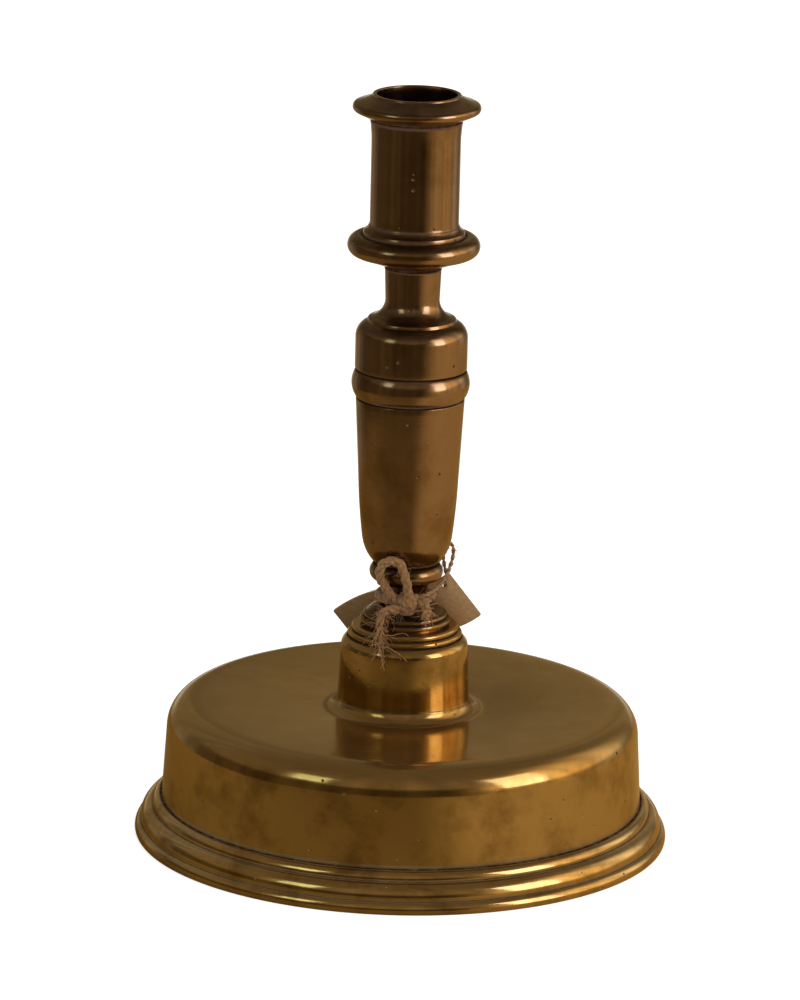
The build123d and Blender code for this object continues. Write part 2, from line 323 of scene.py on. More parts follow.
def mark_quirk_dirt_shade(chain, grime, turned):
    """Note on each vertex how deep it lies in a quirk, from 0 on open metal to 1 in a sharp corner: how much
    dirt and painted shade it takes.
    """
    along = 0.0
    for i, vert in enumerate(chain):
        along += (vert.co - chain[i - 1].co).length if i else 0.0
        vert[turned] = along
        before = next((v for v in reversed(chain[:i]) if (v.co - vert.co).length > QUIRK_DIRT_SHADE_REACH), None)
        after = next((v for v in chain[i + 1 :] if (v.co - vert.co).length > QUIRK_DIRT_SHADE_REACH), None)
        if before and after:
            chord = after.co - before.co
            outward = Vector((-chord.z, 0, chord.x)).normalized()
            depth = ((before.co + after.co) / 2 - vert.co).dot(outward) / QUIRK_DIRT_SHADE_REACH
            share = min(1.0, max(0.0, (depth - QUIRK_DIRT_SHADE_FROM) / (QUIRK_DIRT_SHADE_FULL - QUIRK_DIRT_SHADE_FROM)))
            vert[grime] = share * share * (3 - 2 * share)


def finished_object(name, bm, material):
    """A smooth-shaded object of a finished mesh, at the origin."""
    mesh = bpy.data.meshes.new(name)
    bm.to_mesh(mesh)
    bm.free()
    mesh.shade_smooth()
    mesh.set_sharp_from_angle(angle=SHARP_ANGLE)
    mesh.materials.append(material)
    piece = bpy.data.objects.new(name, mesh)
    bpy.context.scene.collection.objects.link(piece)
    return piece


def turn(name, outline, steps, material):
    """A casting turned from its outline."""
    bm = bmesh.new()
    # Per-vertex mark for dirt and painted shade in the quirks.
    grime = bm.verts.layers.float.new("grime")
    turned = bm.verts.layers.float.new("turned")
    draw_outline(bm, outline)
    radius, height, _, _ = outline[0]
    mark_quirk_dirt_shade(walk_outline(bm, Vector((radius, 0, height)) * MM), grime, turned)
    bmesh.ops.spin(
        bm,
        geom=bm.verts[:] + bm.edges[:],
        cent=(0, 0, 0),
        axis=(0, 0, 1),
        angle=2 * math.pi,
        steps=steps,
        use_merge=True,
    )
    bmesh.ops.remove_doubles(bm, verts=bm.verts[:], dist=2 * WELD)
    bmesh.ops.recalc_face_normals(bm, faces=bm.faces[:])
    return finished_object(name, bm, material)


def add_node(tree, kind, inputs=None, **settings):
    """Add a node with its settings, and link or set its inputs."""
    node = tree.nodes.new(kind)
    for name, value in settings.items():
        setattr(node, name, value)
    for socket, value in (inputs or {}).items():
        if isinstance(value, bpy.types.NodeSocket):
            tree.links.new(value, node.inputs[socket])
        else:
            node.inputs[socket].default_value = value
    return node


def new_material(name):
    """An empty node material and its tree."""
    material = bpy.data.materials.new(name)
    material.use_nodes = True
    material.node_tree.nodes.clear()
    return material, material.node_tree


def ranged(tree, value, low, high, to_low=0.0, to_high=1.0, interpolation="SMOOTHSTEP"):
    """A value carried from one range to another."""
    return add_node(
        tree,
        "ShaderNodeMapRange",
        {"Value": value, "From Min": low, "From Max": high, "To Min": to_low, "To Max": to_high},
        interpolation_type=interpolation,
    ).outputs["Result"]


def mixed(tree, factor, first, second):
    """One colour laid over another by a factor."""
    return add_node(
        tree, "ShaderNodeMix", {"Factor": factor, "A": first, "B": second}, data_type="RGBA"
    ).outputs["Result"]


def maths(tree, operation, first, second):
    """Two values put together."""
    return add_node(tree, "ShaderNodeMath", {0: first, 1: second}, operation=operation).outputs[0]


def cloudy(tree, place, size, detail=2.0, roughness=0.5):
    """Cloudy noise over a place, with clouds of that size."""
    return add_node(
        tree,
        "ShaderNodeTexNoise",
        {"Vector": place, "Scale": 1 / size, "Detail": detail, "Roughness": roughness},
    ).outputs


def banded(tree, along, scale, detail):
    """Noise along one line."""
    return add_node(
        tree, "ShaderNodeTexNoise", {"W": along, "Scale": scale, "Detail": detail}, noise_dimensions="1D"
    ).outputs["Fac"]


EDGE_TINT = linear("f0e2c8")
BASE_ROUGHNESS = 0.1
STEM_ROUGHNESS = 0.14
# Sizes of the patterns in the finish.
FILM_SIZE = 16 * MM
BLOTCH_SIZE = 2.5 * MM
WOBBLE_SIZE = 18 * MM
RING_SIZE = 0.9 * MM
PIT_SPACING = 3.0 * MM
PIT_EDGE_SIZE = 0.8 * MM
PIT_EDGE_SHIFT = 0.6 * MM
# Height of each pattern in the relief, as a share of its depth.
RELIEF_DEPTH = 1.0 * MM
RING_RELIEF = 0.003
BLOTCH_RELIEF = 0.008
WOBBLE_RELIEF = 0.15
PIT_RELIEF = 0.12
# Where a pattern begins and ends to tell, and what it gives there, unless that is 0 and 1.
PIT_CELLS = (0.62, 1.0, 0.0, 0.18)
PIT_FACING_UP = (0.5, 0.95, 1.0, 0.6)
PIT_EDGE = (0.0, -0.05)
FILM_SHARE = (0.42, 0.72, 0.0, 0.75)
# Upper faces darken: tarnish on the drum's top, and on the stem also painted shade.
DULL_FACING_UP = (0.12, 0.7)
DULL_FILM = (0.3, 0.6, 0.7, 0.95)
DULL_HEIGHT = (22 * MM, 30 * MM)
# Blotches break up the dirt and painted shade in the quirks.
QUIRK_DIRT_SHADE_BLOTCH = (0.3, 0.6, 0.85, 1.0)
GLOSS_BLOTCH = (0.3, 0.75)
# How dirty a pit is, and what blotches and the darker upper faces take from the polish.
PIT_DIRT = 0.85
BLOTCH_ROUGHNESS = 0.06
DULL_ROUGHNESS = 0.03
DULL_MATT = 0.24


def pits(tree, place, upward):
    """Where the pits of the casting lie: ragged spots in some cells, smaller on faces that look up."""
    ragged = add_node(
        tree,
        "ShaderNodeVectorMath",
        {0: cloudy(tree, place, PIT_EDGE_SIZE)["Color"], "Scale": PIT_EDGE_SHIFT},
        operation="SCALE",
    ).outputs["Vector"]
    spread = add_node(tree, "ShaderNodeVectorMath", {0: place, 1: ragged}, operation="ADD").outputs["Vector"]
    cells = add_node(tree, "ShaderNodeTexVoronoi", {"Vector": spread, "Scale": 1 / PIT_SPACING}).outputs
    kind = add_node(tree, "ShaderNodeSeparateColor", {"Color": cells["Color"]}).outputs["Red"]
    size = ranged(tree, kind, *PIT_CELLS)
    size = maths(tree, "MULTIPLY", size, ranged(tree, upward, *PIT_FACING_UP))
    return ranged(tree, maths(tree, "SUBTRACT", cells["Distance"], size), *PIT_EDGE)


def turned_brass(name, colour, dull_colour, settings, roughness):
    """Cast brass, polished long ago: a mirror gone soft, with brown film, pits, and dirt with painted shade
    in the quirks; its upper faces take a darker tone, tarnish, and on the stem also painted shade.
    """
    material, tree = new_material(name)
    place = add_node(tree, "ShaderNodeTexCoord").outputs["Object"]
    quirk = add_node(tree, "ShaderNodeAttribute", attribute_name="grime").outputs["Fac"]
    turned = add_node(tree, "ShaderNodeAttribute", attribute_name="turned").outputs["Fac"]
    facing = add_node(tree, "ShaderNodeNewGeometry").outputs["Normal"]
    upward = add_node(tree, "ShaderNodeSeparateXYZ", {"Vector": facing}).outputs["Z"]
    height = add_node(tree, "ShaderNodeSeparateXYZ", {"Vector": place}).outputs["Z"]
    film = cloudy(tree, place, FILM_SIZE, 6.0, 0.65)["Fac"]
    blotch = cloudy(tree, place, BLOTCH_SIZE, 4.0, 0.7)["Fac"]
    wobble = cloudy(tree, place, WOBBLE_SIZE, 1.0)["Fac"]
    rings = banded(tree, turned, 1 / RING_SIZE, 3.0)
    pit = pits(tree, place, upward)
    # Upper faces take a darker colour: tarnish on the seldom-rubbed drum top, and on the stem painted shade
    # that dims its highlights.
    upper_tarnish_and_shade = maths(tree, "MULTIPLY", ranged(tree, upward, *DULL_FACING_UP), ranged(tree, film, *DULL_FILM))
    upper_tarnish_and_shade = maths(tree, "MULTIPLY", upper_tarnish_and_shade, ranged(tree, height, *DULL_HEIGHT))
    # Dark colour: dirt in the pits, and dirt with painted shade in the quirks.
    dirt_and_quirk_shade = maths(tree, "MULTIPLY", quirk, ranged(tree, blotch, *QUIRK_DIRT_SHADE_BLOTCH))
    dirt_and_quirk_shade = maths(tree, "MAXIMUM", dirt_and_quirk_shade, maths(tree, "MULTIPLY", pit, PIT_DIRT))
    tone = mixed(tree, ranged(tree, film, *FILM_SHARE), colour, settings.tarnish_colour)
    tone = mixed(tree, upper_tarnish_and_shade, tone, dull_colour)
    tone = mixed(tree, dirt_and_quirk_shade, tone, settings.dirt_and_shade_colour)
    relief = maths(tree, "MULTIPLY", rings, RING_RELIEF)
    relief = maths(tree, "ADD", relief, maths(tree, "MULTIPLY", blotch, BLOTCH_RELIEF))
    relief = maths(tree, "ADD", relief, maths(tree, "MULTIPLY", wobble, WOBBLE_RELIEF))
    relief = maths(tree, "SUBTRACT", relief, maths(tree, "MULTIPLY", pit, PIT_RELIEF))
    bump = add_node(tree, "ShaderNodeBump", {"Height": relief, "Strength": 1.0, "Distance": RELIEF_DEPTH})
    gloss = ranged(tree, blotch, *GLOSS_BLOTCH, roughness, roughness + BLOTCH_ROUGHNESS)
    gloss = maths(tree, "ADD", gloss, maths(tree, "MULTIPLY", upper_tarnish_and_shade, DULL_ROUGHNESS))
    matt = maths(tree, "MAXIMUM", dirt_and_quirk_shade, maths(tree, "MULTIPLY", upper_tarnish_and_shade, DULL_MATT))
    shader = add_node(
        tree,
        "ShaderNodeBsdfPrincipled",
        {
            "Base Color": tone,
            "Metallic": ranged(tree, matt, 0.0, 1.0, 1.0, 0.0),
            "Roughness": gloss,
            "Specular IOR Level": 0.0,
            "Specular Tint": EDGE_TINT,
            "Normal": bump.outputs["Normal"],
        },
    )
    add_node(tree, "ShaderNodeOutputMaterial", {"Surface": shader.outputs["BSDF"]})
    return material


THREAD_TOP = 56.0 * MM
THREAD_FOOT = 45.8 * MM
THREAD_ROOT = 5.1 * MM
THREAD_CREST = 5.95 * MM
THREAD_STEPS = 40
THREAD_HALF = 0.42


def cut_thread(name, pitch, material):
    """The ridge of the screw on the tenon: a closed triangle swept round and down."""
    bm = bmesh.new()
    half = THREAD_HALF * pitch
    corners = [
        bm.verts.new((THREAD_ROOT, 0, THREAD_TOP - 2 * half)),
        bm.verts.new((THREAD_CREST, 0, THREAD_TOP - half)),
        bm.verts.new((THREAD_ROOT, 0, THREAD_TOP)),
    ]
    bm.faces.new(corners)
    turns = (THREAD_TOP - THREAD_FOOT - 2 * half) / pitch
    steps = round(turns * THREAD_STEPS)
    swept = bmesh.ops.spin(
        bm,
        geom=bm.faces[:] + bm.edges[:] + bm.verts[:],
        cent=(0, 0, 0),
        axis=(0, 0, 1),
        dvec=(0, 0, -turns * pitch / steps),
        angle=2 * math.pi * turns,
        steps=steps,
    )
    ends = [item for item in swept["geom_last"] if isinstance(item, bmesh.types.BMVert)]
    bmesh.ops.contextual_create(bm, geom=ends)
    bmesh.ops.remove_doubles(bm, verts=bm.verts[:], dist=WELD)
    bmesh.ops.recalc_face_normals(bm, faces=bm.faces[:])
    return finished_object(name, bm, material)


class CANDLESTICK_OT_drum_base(bpy.types.Operator):
    """Turn the hollow drum base."""

    bl_idname = "candlestick.drum_base"
    bl_label = "Drum base"

    def execute(self, context):
        brass = context.scene.candlestick_brass
        material = turned_brass(
            "base_cast_brass", brass.base_colour, brass.dull_colour, brass, BASE_ROUGHNESS
        )
        piece = turn("drum_base_turned", BASE_OUTLINE, brass.turning_steps, material)
        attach(piece, "base")
        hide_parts("drum_base")
        return {"FINISHED"}


class CANDLESTICK_OT_stem(bpy.types.Operator):
    """Turn the baluster stem and cut the thread on its tenon."""

    bl_idname = "candlestick.stem"
    bl_label = "Stem"

    def execute(self, context):
        brass = context.scene.candlestick_brass
        # The stem's upper faces take painted shade in its darker colour.
        material = turned_brass(
            "stem_cast_brass", brass.stem_colour, brass.upper_tarnish_shade_colour, brass, STEM_ROUGHNESS
        )
        piece = turn("stem_turned", STEM_OUTLINE, brass.turning_steps, material)
        thread = cut_thread("stem_thread", brass.thread_pitch, material)
        for part in (piece, thread):
            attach(part, "stem")
        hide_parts("stem")
        return {"FINISHED"}


# Routes of the tie in millimetres, measured from the middle of the knot in front of the waist.
KNOT_CENTRE = Vector((0.4, -9.1, 69.4)) * MM
WRAP_RADIUS = 7.5
WRAP_START = math.radians(-75)
WRAP_SWEEP = math.radians(330)
WRAP_POINTS = 20
LEFT_TAIL = (
    (-1.0, -0.7, -1.0),
    (-3.4, -2.4, -1.4),
    (-5.7, -3.9, -0.9),
    (-7.3, -5.2, -2.5),
    (-7.4, -6.5, -5.4),
    (-7.3, -7.9, -8.0),
    (-6.8, -8.8, -10.6),
)
BOW = (
    (-2.4, -0.1, 0.2),
    (-5.6, -1.8, 4.0),
    (-8.2, -2.6, 9.0),
    (-6.9, -3.9, 12.9),
    (-2.5, -4.3, 13.6),
    (-0.7, -3.8, 9.2),
    (0.2, -2.5, 4.6),
    (0.5, -1.0, 1.0),
)
RIGHT_TAIL = (
    (2.2, -0.5, -0.8),
    (4.3, -1.5, 0.7),
    (5.4, -2.5, -0.2),
    (5.6, -3.4, -1.9),
    (5.3, -4.2, -3.4),
)
TAG_STRING = (
    (2.0, 0.9, 1.1),
    (5.5, 1.7, 2.1),
    (8.0, 4.1, 2.8),
    (9.8, 8.3, 3.7),
    (11.0, 12.3, 4.8),
    (12.2, 15.1, 7.4),
    (12.8, 16.0, 10.0),
    (12.7, 15.7, 12.7),
    (11.2, 15.5, 13.6),
    (9.9, 15.7, 12.7),
    (9.8, 16.0, 10.0),
    (10.2, 16.0, 7.2),
    (11.0, 15.0, 4.2),
    (10.9, 15.2, 1.8),
    (10.9, 16.9, 0.2),
    (10.3, 19.3, 1.1),
)
TWINE_PLIES = 3
TWINE_LAY = 9 * MM
STRING_PLIES = 2
STRING_LAY = 4 * MM
PLY_SHARE = 0.52
PLY_STEP = 0.4 * MM
RAGGEDNESS = 0.12
RAGGED_PER_METRE = 900
WORN_TIP = 0.25


def from_knot(route):
    """Places of a route measured from the knot."""
    return [KNOT_CENTRE + Vector(place) * MM for place in route]


def wrap_route():
    """The turn round the waist, out from the right of the knot and back in on its left."""
    angles = [WRAP_START + WRAP_SWEEP * i / (WRAP_POINTS - 1) for i in range(WRAP_POINTS)]
    radius, height = WRAP_RADIUS * MM, KNOT_CENTRE.z
    return [Vector((radius * math.cos(angle), radius * math.sin(angle), height)) for angle in angles]


def as_mesh(curve):
    """The mesh that a curve makes; the curve is used up."""
    holder = bpy.data.objects.new(curve.name, curve)
    mesh = bpy.data.meshes.new_from_object(holder)
    bpy.data.objects.remove(holder)
    bpy.data.curves.remove(curve)
    return mesh


def smooth_path(route):
    """Points along the smooth curve that a cord's route steers."""
    curve = bpy.data.curves.new("route", "CURVE")
    curve.dimensions = "3D"
    spline = curve.splines.new("NURBS")
    spline.points.add(len(route) - 1)
    for point, place in zip(spline.points, route):
        point.co = (*place, 1)
    spline.order_u = 3
    spline.use_endpoint_u = True
    mesh = as_mesh(curve)
    path = [vert.co.copy() for vert in mesh.vertices]
    bpy.data.meshes.remove(mesh)
    return path


def path_length(path):
    """Length along a path."""
    return sum((after - before).length for before, after in zip(path, path[1:]))


def even_path(path, step):
    """The same path with its points a step apart."""
    count = max(2, round(path_length(path) / step))
    gap = path_length(path) / count
    even = [path[0]]
    walked = 0.0
    for before, after in zip(path, path[1:]):
        stretch = (after - before).length
        while len(even) < count and walked + stretch >= gap * len(even):
            even.append(before.lerp(after, (gap * len(even) - walked) / stretch))
        walked += stretch
    return even + [path[-1]]


def frames_along(path):
    """Each point of a path with its heading and a side that doesn't spin about it."""
    side = (path[1] - path[0]).orthogonal()
    for i, place in enumerate(path):
        heading = (path[min(i + 1, len(path) - 1)] - path[max(i - 1, 0)]).normalized()
        side = (side - heading * side.dot(heading)).normalized()
        yield place, heading, side


def twisted_plies(path, diameter, plies, lay, worn=0.0):
    """Routes of a twisted cord's plies, thinner over a worn first stretch, and the thickness of one ply."""
    path = even_path(path, PLY_STEP)
    ply = PLY_SHARE * diameter
    routes = [[] for _ in range(plies)]
    for i, (place, heading, side) in enumerate(frames_along(path)):
        for k, route in enumerate(routes):
            turn_by = math.tau * (i * PLY_STEP / lay + k / plies)
            out = Matrix.Rotation(turn_by, 3, heading) @ side
            spot = Vector((place.x, place.y, place.z + k)) * RAGGED_PER_METRE
            ragged = 1 + RAGGEDNESS * noise.noise(spot)
            share = WORN_TIP + (1 - WORN_TIP) * min(1.0, i * PLY_STEP / worn) if worn else 1.0
            route.append((place + out * (diameter - ply) / 2 * ragged, ragged * share))
    return routes, ply


def tubes(name, routes, diameter, material, roundness):
    """One mesh of round strands; each point of a route carries a share of the diameter."""
    curve = bpy.data.curves.new(name, "CURVE")
    curve.dimensions = "3D"
    curve.bevel_depth = diameter / 2
    curve.bevel_resolution = roundness
    curve.use_fill_caps = True
    for route in routes:
        spline = curve.splines.new("POLY")
        spline.points.add(len(route) - 1)
        for point, (place, share) in zip(spline.points, route):
            point.co = (*place, 1)
            point.radius = share
    mesh = as_mesh(curve)
    mesh.name = name
    mesh.shade_smooth()
    mesh.materials.append(material)
    piece = bpy.data.objects.new(name, mesh)
    bpy.context.scene.collection.objects.link(piece)
    return piece


def metal_radius(height):
    """Radius of the castings at a height, with straight lines between the corners of their outlines."""
    reach = 0.0
    for outline in (BASE_OUTLINE, STEM_OUTLINE):
        for (radius, top, _, _), (next_radius, foot, _, _) in zip(outline, outline[1:]):
            if min(top, foot) * MM <= height <= max(top, foot) * MM and top != foot:
                share = (height / MM - top) / (foot - top)
                reach = max(reach, (radius + (next_radius - radius) * share) * MM)
    return reach


def off_metal(place, margin):
    """A place moved straight out from the axis until it clears the castings."""
    flat = Vector((place.x, place.y, 0))
    reach = metal_radius(place.z) + margin
    if flat.length >= reach:
        return place
    return flat.normalized() * reach + Vector((0, 0, place.z))


FIBRE_STEPS = 9
FIBRE_MARGIN = 1.0 * MM
FIBRE_THINNING = 0.6
# Where a loose fibre starts, off the middle of its cord, as a share of the cord's thickness.
FUZZ_ROOT = 0.4
FRAY_ROOT = 0.2


def curly_fibre(start, heading, length, droop, curl, dice):
    """One loose fibre that wanders from its start, droops and thins out."""
    place = start.copy()
    heading = heading.normalized()
    route = []
    for i in range(FIBRE_STEPS + 1):
        route.append((off_metal(place, FIBRE_MARGIN), 1.0 - FIBRE_THINNING * i / FIBRE_STEPS))
        sway = Vector((dice.gauss(0, curl), dice.gauss(0, curl), dice.gauss(0, curl)))
        heading = (heading + sway + Vector((0, 0, -droop))).normalized()
        place = place + heading * length / FIBRE_STEPS
    return route


def fuzz(path, diameter, count, longest, dice):
    """Short fibres that stand off a cord all along it."""
    frames = list(frames_along(path))
    fibres = []
    for _ in range(count):
        place, heading, side = dice.choice(frames)
        out = Matrix.Rotation(dice.uniform(0, math.tau), 3, heading) @ side
        lean = heading * dice.choice((-1, 1)) * dice.uniform(0.5, 2.0)
        length = longest * dice.uniform(0.25, 1.0) ** 2
        root = place + out * diameter * FUZZ_ROOT
        fibres.append(curly_fibre(root, out + lean, length, droop=0.05, curl=0.35, dice=dice))
    return fibres


def frayed_end(path, diameter, count, reach, longest, spread, dice):
    """The fibres into which a cord's open end falls apart, from a reach before its tip."""
    loose = [frame for frame in frames_along(path) if (frame[0] - path[-1]).length < reach]
    fibres = []
    for _ in range(count):
        place, heading, _ = dice.choice(loose)
        aside = Vector((dice.gauss(0, 1), dice.gauss(0, 1), dice.gauss(0, 1)))
        length = longest * dice.uniform(0.3, 1.0)
        root = place + aside * diameter * FRAY_ROOT
        fibres.append(curly_fibre(root, heading + aside * spread, length, droop=0.1, curl=0.34, dice=dice))
    return fibres


JUTE_FIBRE_SIZE = 0.7 * MM
JUTE_RELIEF = 0.25 * MM
JUTE_SHARE = (0.35, 0.7)


def jute(name, colour, upper_tarnish_shade_colour):
    """Dry spun jute: matt and hairy, with pale and brown fibres side by side."""
    material, tree = new_material(name)
    place = add_node(tree, "ShaderNodeTexCoord").outputs["Object"]
    fibres = cloudy(tree, place, JUTE_FIBRE_SIZE, 4.0, 0.7)["Fac"]
    tone = mixed(tree, ranged(tree, fibres, *JUTE_SHARE, interpolation="LINEAR"), upper_tarnish_shade_colour, colour)
    bump = add_node(tree, "ShaderNodeBump", {"Height": fibres, "Strength": 0.8, "Distance": JUTE_RELIEF})
    shader = add_node(
        tree,
        "ShaderNodeBsdfPrincipled",
        {
            "Base Color": tone,
            "Roughness": 0.9,
            "Specular IOR Level": 0.25,
            "Sheen Weight": 0.2,
            "Normal": bump.outputs["Normal"],
        },
    )
    add_node(tree, "ShaderNodeOutputMaterial", {"Surface": shader.outputs["BSDF"]})
    return material


PLY_ROUNDNESS = 2
STRAND_ROUNDNESS = 1
FIBRE_ROUNDNESS = 0
FUZZ_LENGTH = 4.5 * MM
FRAY_REACH = 13 * MM
LEFT_STRANDS = 26
RIGHT_STRANDS = 14
# How a tail falls apart: the reach before its tip, the longest fibre or strand, and how far they spread.
LEFT_FIBRE_FRAY = (FRAY_REACH, 8 * MM, 0.6)
RIGHT_FIBRE_FRAY = (FRAY_REACH / 2, 5 * MM, 0.5)
LEFT_STRAND_FRAY = (FRAY_REACH / 2, 9 * MM, 0.5)
RIGHT_STRAND_FRAY = (FRAY_REACH / 3, 5 * MM, 0.5)
KNOT_TURNS = (
    ((-1.6, 0.4, 1.9), (0.7, -1.7, 2.2), (2.1, -1.9, 0.2), (1.0, -1.7, -2.0), (-1.4, -0.5, -2.2)),
    ((-2.3, -0.2, 0.8), (-1.1, -2.2, 1.3), (0.8, -2.5, 0.3), (2.2, -1.0, -1.0), (2.0, 0.8, -1.3)),
    ((-2.1, 0.3, -1.2), (-1.6, -1.7, -0.6), (0.3, -2.1, -0.9), (1.7, -1.3, 1.1), (2.2, 0.7, 1.6)),
)


class CANDLESTICK_OT_twine(bpy.types.Operator):
    """Tie the jute twine round the waist: its turn, knot, bow and two frayed tails."""

    bl_idname = "candlestick.twine"
    bl_label = "Twine"

    def execute(self, context):
        tie = context.scene.candlestick_tie
        dice = random.Random(tie.fray_seed)
        material = jute("jute_twine", tie.jute_colour, tie.jute_shade)
        thickness = tie.twine_diameter
        route = from_knot(LEFT_TAIL[::-1]) + wrap_route() + from_knot(BOW) + from_knot(RIGHT_TAIL)
        path = smooth_path(route)
        plies, ply = twisted_plies(path, thickness, TWINE_PLIES, TWINE_LAY, FRAY_REACH)
        twine = tubes("twine_spun", plies, ply, material, PLY_ROUNDNESS)
        turns = []
        for loop in KNOT_TURNS:
            plies, ply = twisted_plies(smooth_path(from_knot(loop)), thickness, TWINE_PLIES, TWINE_LAY)
            turns += plies
        knot = tubes("twine_knot_turns", turns, ply, material, PLY_ROUNDNESS)
        loose = fuzz(path, thickness, tie.fuzz_count, FUZZ_LENGTH, dice)
        loose += frayed_end(path[::-1], thickness, tie.fray_count, *LEFT_FIBRE_FRAY, dice)
        loose += frayed_end(path, thickness, tie.fray_count // 2, *RIGHT_FIBRE_FRAY, dice)
        fibres = tubes("twine_fibres", loose, tie.fibre_diameter, material, FIBRE_ROUNDNESS)
        frayed = frayed_end(path[::-1], thickness, LEFT_STRANDS, *LEFT_STRAND_FRAY, dice)
        frayed += frayed_end(path, thickness, RIGHT_STRANDS, *RIGHT_STRAND_FRAY, dice)
        strands = tubes("twine_strands", frayed, tie.strand_diameter, material, STRAND_ROUNDNESS)
        for piece in (twine, knot, strands, fibres):
            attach(piece, "tie")
        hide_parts("twine_wrap", "twine_bow", "twine_tail_left", "twine_tail_right")
        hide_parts("twine_knot")
        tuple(path[0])
        path_length(path)
        return {"FINISHED"}


STOP_KNOT = (
    (0.6, 0.1, 0.5),
    (0.2, 0.7, -0.5),
    (-0.6, 0.3, 0.1),
    (0.1, -0.5, 0.6),
    (0.5, 0.5, -0.4),
    (-0.3, 0.9, 0.2),
)
STRING_FUZZ_LENGTH = 3 * MM
STRING_FUZZ_DIVISOR = 4


class CANDLESTICK_OT_tag_string(bpy.types.Operator):
    """Lead the thin string from the knot through the tag's hole to its own knot behind the card."""

    bl_idname = "candlestick.tag_string"
    bl_label = "Tag string"

    def execute(self, context):
        tie = context.scene.candlestick_tie
        dice = random.Random(tie.fray_seed + 1)
        material = jute("jute_string", tie.string_colour, tie.jute_shade)
        path = smooth_path(from_knot(TAG_STRING))
        plies, ply = twisted_plies(path, tie.string_diameter, STRING_PLIES, STRING_LAY)
        string = tubes("tag_string_spun", plies, ply, material, PLY_ROUNDNESS)
        stop_path = smooth_path([path[-1] + Vector(place) * MM for place in STOP_KNOT])
        plies, ply = twisted_plies(stop_path, tie.string_diameter, STRING_PLIES, STRING_LAY)
        stop = tubes("tag_string_knot", plies, ply, material, PLY_ROUNDNESS)
        count = tie.fuzz_count // STRING_FUZZ_DIVISOR
        loose = fuzz(path, tie.string_diameter, count, STRING_FUZZ_LENGTH, dice)
        fibres = tubes("tag_string_fibres", loose, tie.fibre_diameter, material, FIBRE_ROUNDNESS)
        for piece in (string, stop, fibres):
            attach(piece, "tie")
        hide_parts("tag_string")
        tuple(path[0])
        path_length(path)
        return {"FINISHED"}


# The card as it lies: one corner, the way its long and short edges run, and the two bends along it.
CARD_CORNER = Vector((-20.6, 18.4, 58.9)) * MM
CARD_ALONG = Vector((0.870, -0.281, 0.402)).normalized()
CARD_ACROSS = Vector((0.504, 0.420, -0.756)).normalized()
CARD_WIDTH = 19 * MM
HUMP_LENGTH = 21.7 * MM
HUMP_HEIGHT = 2.7 * MM
DIP_LENGTH = 15.7 * MM
CORNER_RADIUS = 0.7 * MM
CORNER_SEGMENTS = 3
HOLE_RADIUS = 0.8 * MM
HOLE_SEGMENTS = 24
HOLE_FROM_EDGES = 3 * MM
BEND_STEP = 1.3 * MM
FLECK_SIZE = 1.2 * MM
FLECK_SHARE = (0.35, 0.75)


def bend_card(flat, bend, hump_radius, dip_radius):
    """Where a point of the flat card goes when the card is bent into its hump and dip."""
    turned = flat.x / hump_radius - bend
    if turned <= bend:
        along = hump_radius * (math.sin(turned) + math.sin(bend))
        front = hump_radius * (math.cos(bend) - math.cos(turned))
    else:
        turned = bend - (flat.x - 2 * bend * hump_radius) / dip_radius
        along = HUMP_LENGTH + dip_radius * (math.sin(bend) - math.sin(turned))
        front = dip_radius * (math.cos(turned) - math.cos(bend))
    facing = CARD_ACROSS.cross(CARD_ALONG)
    normal = facing * math.cos(turned) - CARD_ALONG * math.sin(turned)
    return CARD_CORNER + CARD_ALONG * along + facing * front + CARD_ACROSS * flat.y + normal * flat.z


def kraft_card(name, colour, pale_colour):
    """Brown kraft card: matt, with a faint fleck of paler card."""
    material, tree = new_material(name)
    place = add_node(tree, "ShaderNodeTexCoord").outputs["Object"]
    fleck = cloudy(tree, place, FLECK_SIZE, 5.0, 0.65)["Fac"]
    tone = mixed(tree, ranged(tree, fleck, *FLECK_SHARE, interpolation="LINEAR"), colour, pale_colour)
    shader = add_node(
        tree,
        "ShaderNodeBsdfPrincipled",
        {"Base Color": tone, "Roughness": 0.7, "Specular IOR Level": 0.3},
    )
    add_node(tree, "ShaderNodeOutputMaterial", {"Surface": shader.outputs["BSDF"]})
    return material


